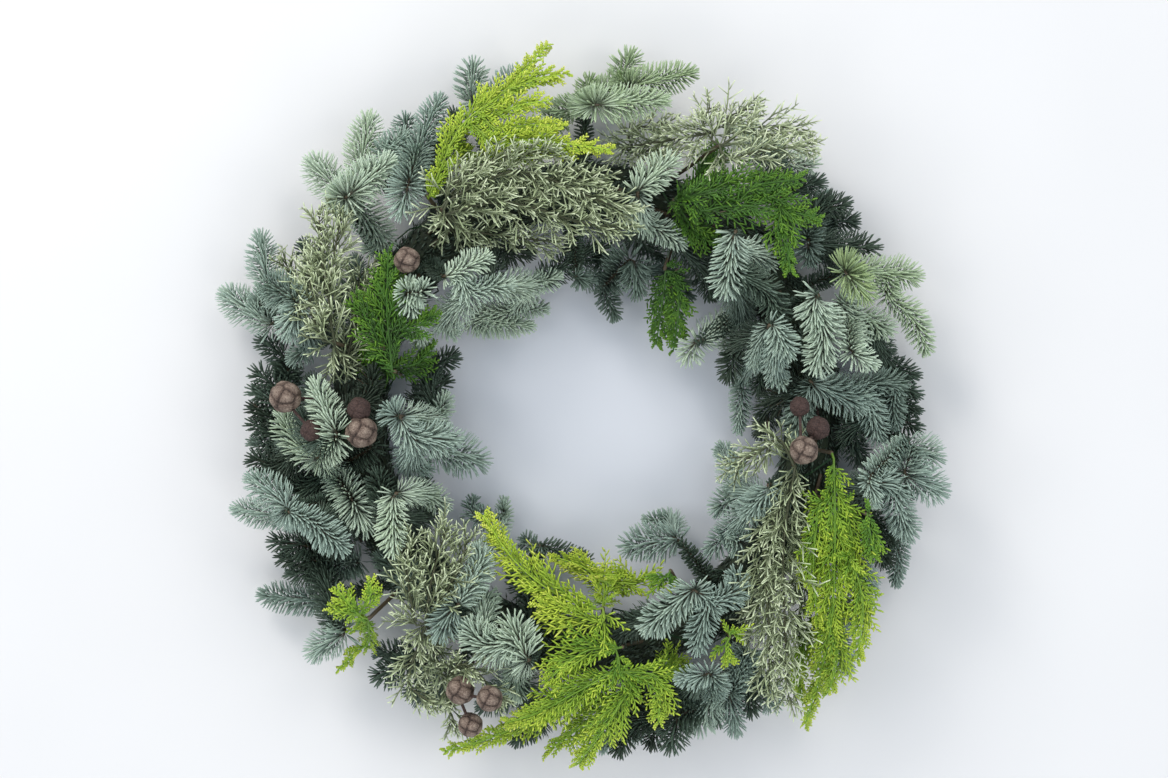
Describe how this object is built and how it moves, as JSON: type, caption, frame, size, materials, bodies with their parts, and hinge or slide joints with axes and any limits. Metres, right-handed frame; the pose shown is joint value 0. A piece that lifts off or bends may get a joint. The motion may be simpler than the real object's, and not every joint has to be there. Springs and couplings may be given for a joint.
{
  "type": "evergreen wreath",
  "caption": "Round wreath of noble fir, flat and thread-like cypress and small round cones, wired to a wrapped ring with a flat back.",
  "frame": {"origin": "on the surface the wreath lies on, under the middle of its outline", "axes": "+Z out of the front of the wreath, towards the viewer; +Y to the top of the wreath as it hangs; +X to the viewer's right"},
  "size_m": [0.6264, 0.6259, 0.126],
  "materials": {
    "blue_fir": "satin",
    "cone": "matt",
    "dark_fir": "satin",
    "green_cypress": "satin",
    "grey_cypress": "satin",
    "light_fir": "satin",
    "lime_cypress": "satin",
    "olive_cypress": "satin",
    "ring_wrap": "matt",
    "wire": "satin"
  },
  "bodies": {
    "root": {"binding_wire": "wire", "cone_upper_left": "cone", "cones_bottom": "cone", "cones_left_inner": "cone", "cones_left_outer": "cone", "cones_right": "cone", "cypress_bottom_arm": "lime_cypress", "cypress_bottom_fan": "lime_cypress", "cypress_bottom_sprig": "lime_cypress", "cypress_inner_bottom": "olive_cypress", "cypress_inner_top": "green_cypress", "cypress_left": "green_cypress", "cypress_lower_left": "lime_cypress", "cypress_right": "lime_cypress", "cypress_right_olive": "olive_cypress", "cypress_top_left": "lime_cypress", "cypress_top_right": "green_cypress", "fir_bottom_crest": "blue_fir", "fir_bottom_left_crest": "light_fir", "fir_bottom_left_edge": "dark_fir", "fir_bottom_right": "blue_fir", "fir_bottom_tips": "blue_fir", "fir_inner_bottom": "dark_fir", "fir_inner_bottom_left": "blue_fir", "fir_inner_bottom_right": "blue_fir", "fir_inner_left_hand": "blue_fir", "fir_inner_left_low": "light_fir", "fir_inner_right_low": "blue_fir", "fir_inner_top": "dark_fir", "fir_inner_upper_left": "light_fir", "fir_inner_upper_right": "light_fir", "fir_left_crest": "light_fir", "fir_left_dark": "dark_fir", "fir_left_fork": "blue_fir", "fir_left_heart": "light_fir", "fir_left_tips": "blue_fir", "fir_lower_left_pair": "blue_fir", "fir_lower_right_long": "blue_fir", "fir_right_crest": "light_fir", "fir_right_edge": "blue_fir", "fir_right_hand": "light_fir", "fir_right_inner": "blue_fir", "fir_right_lower_hand": "blue_fir", "fir_right_middle": "blue_fir", "fir_top_fork": "blue_fir", "fir_top_hand": "light_fir", "fir_top_left_pair": "blue_fir", "fir_top_right_edge": "light_fir", "fir_upper_left_a": "blue_fir", "fir_upper_left_b": "blue_fir", "fir_upper_right_fans": "light_fir", "fir_upper_right_low": "blue_fir", "thread_bottom_left": "grey_cypress", "thread_left": "grey_cypress", "thread_right": "grey_cypress", "thread_top_left": "grey_cypress", "thread_top_right": "grey_cypress", "wrapped_ring": "ring_wrap"}
  },
  "joints": []
}
